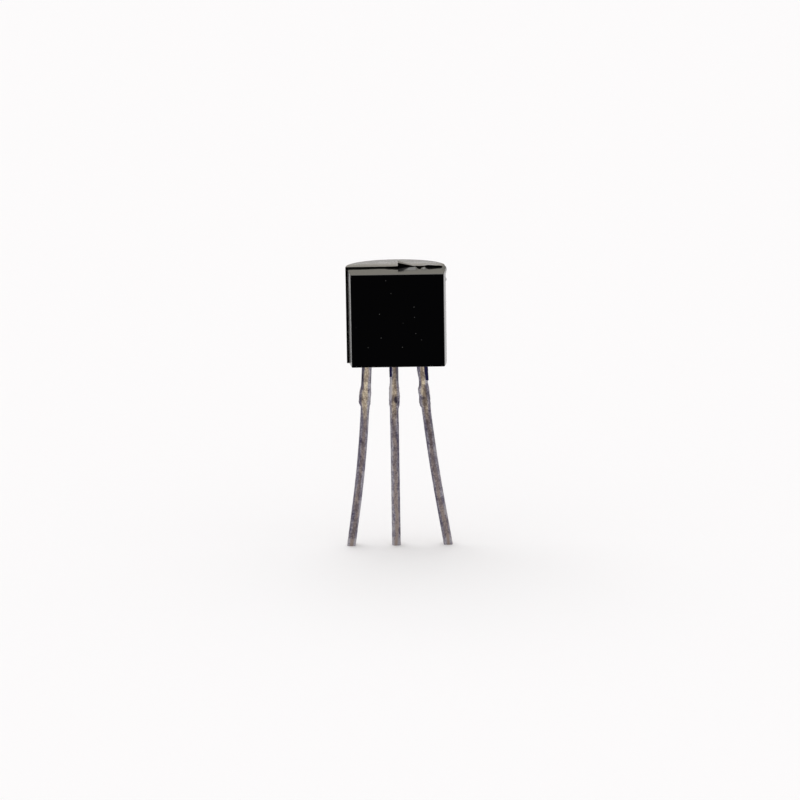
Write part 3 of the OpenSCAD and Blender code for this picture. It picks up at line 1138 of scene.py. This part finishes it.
@dataclass
class PhotoCamera:
    """Long-lens camera at the photograph's viewing angle, with its angles in degrees."""

    aim: Point = (0.25, 0.0, 6.925)
    distance: float = 255.0
    elevation: float = 14.8
    azimuth: float = -0.26
    roll: float = -0.89
    focal_px: float = 5593.0
    clip_m: Flat = (0.01, 20.0)

    def build(self) -> bpy.types.Object:
        """Makes the camera and sets it as the scene's."""
        rise, turn, tilt = (math.radians(a) for a in (self.elevation, self.azimuth, self.roll))
        ahead = Vector((math.sin(turn) * math.cos(rise), math.cos(turn) * math.cos(rise), -math.sin(rise)))
        level = Vector((math.cos(turn), -math.sin(turn), 0.0))
        upright = level.cross(ahead)
        right = level * math.cos(tilt) + upright * math.sin(tilt)
        up = upright * math.cos(tilt) - level * math.sin(tilt)
        data = bpy.data.cameras.new("photo_camera")
        data.sensor_fit = "HORIZONTAL"
        data.sensor_width = SENSOR_MM
        data.lens = self.focal_px * SENSOR_MM / PICTURE_PX
        data.clip_start, data.clip_end = self.clip_m
        data.dof.use_dof = False
        made = bpy.data.objects.new("photo_camera", data)
        spot = (Vector(self.aim) - ahead * self.distance) * MM
        made.matrix_world = Matrix.Translation(spot) @ Matrix((right, up, -ahead)).transposed().to_4x4()
        bpy.context.scene.collection.objects.link(made)
        bpy.context.scene.camera = made
        return made


@dataclass
class Studio:
    """White table, pale surroundings that are brightest behind the part, and one broad soft lamp."""

    floor_size: float = 3000.0
    floor_level: float = 0.08
    floor_colour: str = "#fafafe"
    floor_roughness: float = 0.9
    floor_specular: float = 0.1
    # Surroundings: tones from the camera's side to behind the part, and from low to high
    front: str = "#c4c4c4"
    back: str = "#ffffff"
    depth_span: Flat = (-1.0, 0.4)
    low: Tuple[float, str] = (0.05, "#dfd9d0")
    mid: Tuple[float, str] = (0.4, "#f2ede0")
    high: Tuple[float, str] = (0.85, "#ffffff")
    world_strength: float = 1.0
    lamp_energy: float = 0.8
    lamp_angle: float = 60.0
    lamp_way: Point = (0.25, -0.55, -1.0)

    def floor(self) -> bpy.types.Object:
        """Makes the table top, at the level where the leads go into it."""
        bm = bmesh.new()
        bmesh.ops.create_grid(bm, x_segments=2, y_segments=2, size=self.floor_size / 2)
        bmesh.ops.translate(bm, vec=(0, 0, self.floor_level), verts=bm.verts[:])
        made = make_object(bm, "floor")
        # White table: a plain matt surface that takes soft shadows
        paint, tree = new_material("white_table")
        shader = add_node(tree, "ShaderNodeBsdfPrincipled", values={
            "Base Color": linear(self.floor_colour), "Roughness": self.floor_roughness,
            "Specular IOR Level": self.floor_specular})
        add_node(tree, "ShaderNodeOutputMaterial", links={"Surface": shader.outputs["BSDF"]})
        made.data.materials.append(paint)
        return made

    def world(self) -> None:
        """Makes surroundings that pass from grey at the camera's side to white behind the part."""
        sky = bpy.data.worlds.new("surroundings")
        bpy.context.scene.world = sky
        sky.use_nodes = True
        tree = sky.node_tree
        tree.nodes.clear()
        way = add_node(tree, "ShaderNodeSeparateXYZ", links={
            "Vector": add_node(tree, "ShaderNodeTexCoord").outputs["Generated"]})
        depth = add_node(tree, "ShaderNodeMapRange", spans=(*self.depth_span, 0.0, 1.0),
                         links={"Value": way.outputs["Y"]})
        ramp = add_node(tree, "ShaderNodeValToRGB", links={"Fac": depth.outputs["Result"]},
                        stops=((0.0, self.front), (1.0, self.back)))
        height = add_node(tree, "ShaderNodeValToRGB", links={"Fac": way.outputs["Z"]},
                          stops=(self.low, self.high, self.mid))
        both = add_node(tree, "ShaderNodeMix", settings={"data_type": "RGBA", "blend_type": "MULTIPLY"},
                        values={0: 1.0}, links={6: ramp.outputs["Color"], 7: height.outputs["Color"]})
        light = add_node(tree, "ShaderNodeBackground", values={"Strength": self.world_strength},
                         links={"Color": both.outputs[2]})
        add_node(tree, "ShaderNodeOutputWorld", links={"Surface": light.outputs["Background"]})

    def lamp(self) -> bpy.types.Object:
        """Makes the broad soft lamp, high behind the part."""
        data = bpy.data.lights.new("soft_lamp", "SUN")
        data.energy = self.lamp_energy
        data.angle = math.radians(self.lamp_angle)
        made = bpy.data.objects.new("soft_lamp", data)
        made.rotation_euler = Vector(self.lamp_way).to_track_quat("-Z", "Y").to_euler()
        bpy.context.scene.collection.objects.link(made)
        return made

    def build(self) -> None:
        """Sets up floor, surroundings, lamp and view."""
        self.floor()
        self.world()
        self.lamp()
        bpy.context.scene.view_settings.view_transform = "Standard"


# Inner landings: start outwards, width, height above the underside and own height
POST = (1.05, 0.8, 1.4, 1.2)
PADDLE = (-0.85, 1.7, 1.75, 1.8)
# Painted reflection of the table: each lead is lighter just above it
TABLE_REFLECTION_PAINT = Stain(8.7, 0.0, (0.5, 3.0), -0.8)


def left_lead() -> Lead:
    """Left lead, which curls outwards from the body on."""
    return Lead(
        name="lead_left_plated", node="lead_left", side=Side.LEFT, leave_x=1.2285, landing=POST,
        arcs=(3.2, 0.1, 4.77), painted_lit_side=1.0, seed=1.7,
        outline=(
            (0.0, 0.222, 0.226), (1.12, 0.222, 0.230), (1.25, 0.245, 0.240), (1.42, 0.288, 0.245),
            (1.90, 0.290, 0.240), (2.0, 0.242, 0.228), (2.1, 0.198, 0.208), (2.35, 0.196, 0.196)),
        # The rise of the tones near 8.7 is a painted reflection of the table
        tones=(
            (0.9, 0.02), (1.2, 0.06), (1.7, 0.045), (2.2, 0.02), (3.4, -0.02), (4.8, 0.02), (6.2, 0.0),
            (8.0, -0.03), (8.25, 0.0), (8.7, 0.17), (9.2, -0.02)),
        stains=(
            TABLE_REFLECTION_PAINT, Stain(0.45, -0.7, (0.6, 0.5), 0.55),
            Stain(0.85, -0.85, (0.4, 0.45), 0.5), Stain(0.8, 0.95, (0.5, 0.25), 0.6),
            Stain(0.4, 0.25, (0.5, 0.4), -0.6), Stain(1.0, 0.0, (0.35, 0.5), -0.6),
            Stain(1.1, 0.85, (0.2, 0.35), -0.8), Stain(1.6, 0.85, (0.25, 0.35), -0.5),
            Stain(1.62, -0.7, (0.25, 0.5), 0.45), Stain(1.66, 0.3, (0.1, 0.3), 0.4)))


def centre_lead() -> Lead:
    """Centre lead, which is straight and carries the die paddle."""
    return Lead(
        name="lead_centre_plated", node="lead_centre", side=Side.CENTRE, leave_x=0.0, landing=PADDLE,
        arcs=(0.0, 0.0, 0.0), painted_lit_side=-0.8, seed=4.1,
        outline=(
            (0.0, 0.196, 0.205), (1.0, 0.197, 0.200), (1.1, 0.206, 0.218), (1.3, 0.220, 0.238),
            (1.55, 0.236, 0.243), (1.85, 0.236, 0.244), (2.03, 0.216, 0.236), (2.2, 0.180, 0.220),
            (2.35, 0.175, 0.221), (3.2, 0.184, 0.213)),
        # The rise of the tones near 8.7 is a painted reflection of the table
        tones=(
            (0.9, -0.16), (1.3, -0.06), (1.6, -0.12), (2.2, 0.0), (3.4, -0.01), (4.8, 0.03), (6.2, 0.12),
            (8.0, 0.18), (8.25, 0.19), (8.7, 0.33), (9.2, 0.0)),
        stains=(
            TABLE_REFLECTION_PAINT, Stain(0.5, 0.6, (0.45, 0.5), 0.55),
            Stain(0.6, -0.55, (0.25, 0.5), -0.9), Stain(0.9, -0.3, (0.35, 0.6), -0.9),
            Stain(0.85, 0.75, (0.3, 0.35), 0.3), Stain(1.35, -0.75, (0.6, 0.5), -1.5),
            Stain(1.42, 0.95, (0.35, 0.4), -1.0), Stain(1.74, 0.25, (0.26, 0.45), 0.9),
            Stain(1.9, 0.5, (0.14, 0.35), 0.4),
            Stain(2.3, -0.2, (0.06, 0.3), 0.6), Stain(2.45, 0.2, (0.05, 0.25), 0.6)))


def right_lead() -> Lead:
    """Right lead, which has a small bend at its stub and curls outwards below it."""
    return Lead(
        name="lead_right_plated", node="lead_right", side=Side.RIGHT, leave_x=1.2915, landing=POST,
        arcs=(2.65, 3.45, 3.16), painted_lit_side=0.4, seed=7.3,
        outline=(
            (0.0, 0.195, 0.27), (0.35, 0.195, 0.266), (0.55, 0.195, 0.245), (0.82, 0.195, 0.209),
            (1.08, 0.197, 0.210), (1.19, 0.220, 0.235), (1.28, 0.226, 0.281), (1.42, 0.230, 0.281),
            (1.68, 0.233, 0.260), (1.88, 0.228, 0.279), (2.04, 0.220, 0.262), (2.15, 0.209, 0.209),
            (2.6, 0.203, 0.203)),
        # The rise of the tones near 8.7 is a painted reflection of the table
        tones=(
            (0.9, -0.08), (1.2, -0.06), (1.5, -0.1), (1.8, -0.16), (2.3, -0.05), (3.4, -0.08), (4.8, -0.02),
            (6.2, 0.06), (8.0, 0.09), (8.25, 0.12), (8.7, 0.34), (9.2, 0.0)),
        stains=(
            TABLE_REFLECTION_PAINT, Stain(0.35, 0.25, (0.2, 0.4), -1.0),
            Stain(0.96, 0.15, (0.15, 0.65), -1.3), Stain(1.0, -0.85, (0.14, 0.4), 0.6),
            Stain(1.4, -0.7, (0.28, 0.5), -1.2), Stain(1.25, 0.2, (0.2, 0.4), 0.15),
            Stain(1.5, 0.6, (0.16, 0.6), 0.45), Stain(1.68, -0.25, (0.1, 0.5), 0.6),
            Stain(1.68, 0.9, (0.2, 0.35), 0.45), Stain(1.95, -0.2, (0.12, 0.5), 0.45),
            Stain(3.45, 0.95, (1.0, 0.5), 0.4)))


def main() -> None:
    """Builds the stage and the part."""
    logging.basicConfig(level=logging.INFO, format="%(name)s %(message)s")
    PhotoCamera().build()
    Studio().build()
    epoxy = BlackEpoxy().build()
    tin = TinPlate().build()
    # Thin resin skin: it lets a little cold light through, so it is a dusky blue beside the black body
    skin = BlackEpoxy("thin_resin_skin", "#26254a").build()
    MouldedBody().dress(epoxy)
    left, centre, right = left_lead(), centre_lead(), right_lead()
    for lead in (left, centre, right):
        lead.dress(tin)
    for bleed in (
            ResinBleed("resin_bleed_right", right, across=(0.062, 0.238), long=0.86, seed=2.0, taper=0.25),
            ResinBleed("resin_bleed_centre", centre, across=(-0.213, -0.095), long=0.68, seed=5.0)):
        bleed.dress(skin)
    InnerParts().dress(frame["nodes"])


if __name__ == "__main__":
    main()
